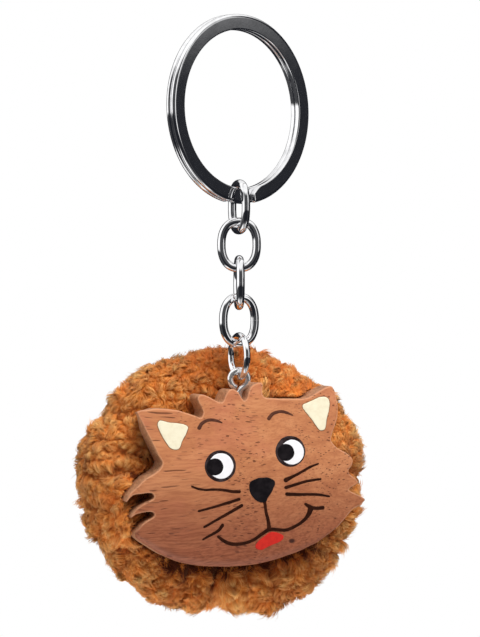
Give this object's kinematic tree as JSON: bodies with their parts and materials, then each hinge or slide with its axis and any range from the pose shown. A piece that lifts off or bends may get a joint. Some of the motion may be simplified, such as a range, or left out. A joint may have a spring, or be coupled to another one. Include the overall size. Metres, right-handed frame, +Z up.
{
  "type": "plush keychain",
  "caption": "Keychain charm: split ring, short oval-link chain and screw eye holding a domed wooden cat head with a painted face, glued on a curly plush ring.",
  "frame": {"origin": "centre of the split ring, where keys or a hook load the keychain", "axes": "+Z up along the hanging chain, the cat's face looks along -Y, +X is to the viewer's right when looking at the face"},
  "size_m": [0.0462, 0.0255, 0.0981],
  "materials": {
    "ring_chrome": "polished nickel or chrome plate on spring steel",
    "chain_chrome": "polished nickel or chrome plate on steel wire",
    "wood": "sanded and thinly oiled reddish-brown wood with open pores",
    "plush": "curly golden-brown pile with lighter tips",
    "filling": "loose off-white polyester fibre",
    "thread": "matte brown sewing thread",
    "glue": "hardened clear hot glue, slightly yellow",
    "brown_black_paint": "brown-black acrylic paint lines, satin",
    "black_paint": "black acrylic paint, satin",
    "white_paint": "white acrylic paint, satin",
    "cream_paint": "cream acrylic paint, satin",
    "red_paint": "red acrylic paint, satin",
    "brown_paint": "thin dark brown acrylic paint, satin"
  },
  "bodies": {
    "ring": {"split_ring": "ring_chrome"},
    "link_1": {"chain_link_1": "chain_chrome"},
    "link_2": {"chain_link_2": "chain_chrome"},
    "link_3": {"chain_link_3": "chain_chrome"},
    "link_4": {"chain_link_4": "chain_chrome"},
    "link_round": {"jump_ring": "chain_chrome"},
    "pendant": {"screw_eye": "chain_chrome", "wooden_head": "wood", "plush_cover": "plush", "ring_filling": "filling", "seam_stitches": "thread", "glue_beads": "glue", "eye_outlines": "brown_black_paint", "eye_whites": "white_paint", "pupils": "black_paint", "nose": "black_paint", "ear_patches": "cream_paint", "tongue": "red_paint", "mouth_lines": "brown_black_paint", "whiskers": "brown_black_paint", "eyebrows": "brown_paint"}
  },
  "joints": [
    {"name": "ring_to_link_1", "type": "hinge", "parent": "ring", "child": "link_1", "pos_m": [0, 0, -0.01425], "axis": [0.8572, 0.515, 0], "range_deg": [-80, 80]},
    {"name": "link_1_to_link_2", "type": "hinge", "parent": "link_1", "child": "link_2", "pos_m": [0, 0, -0.01972], "axis": [-0.1736, 0.9848, 0], "range_deg": [-80, 80]},
    {"name": "link_2_to_link_3", "type": "hinge", "parent": "link_2", "child": "link_3", "pos_m": [0, 0, -0.02577], "axis": [-0.9744, 0.225, 0], "range_deg": [-80, 80]},
    {"name": "link_3_to_link_4", "type": "hinge", "parent": "link_3", "child": "link_4", "pos_m": [0, 0, -0.03182], "axis": [-0.1392, -0.9903, 0], "range_deg": [-75, 75]},
    {"name": "link_4_to_jump_ring", "type": "hinge", "parent": "link_4", "child": "link_round", "pos_m": [0, 0, -0.03787], "axis": [0.9703, 0.2419, 0], "range_deg": [-80, 45]},
    {"name": "jump_ring_to_eye", "type": "hinge", "parent": "link_round", "child": "pendant", "pos_m": [0, 0, -0.0432], "axis": [-0.1736, 0.9848, 0], "range_deg": [-50, 55]}
  ]
}
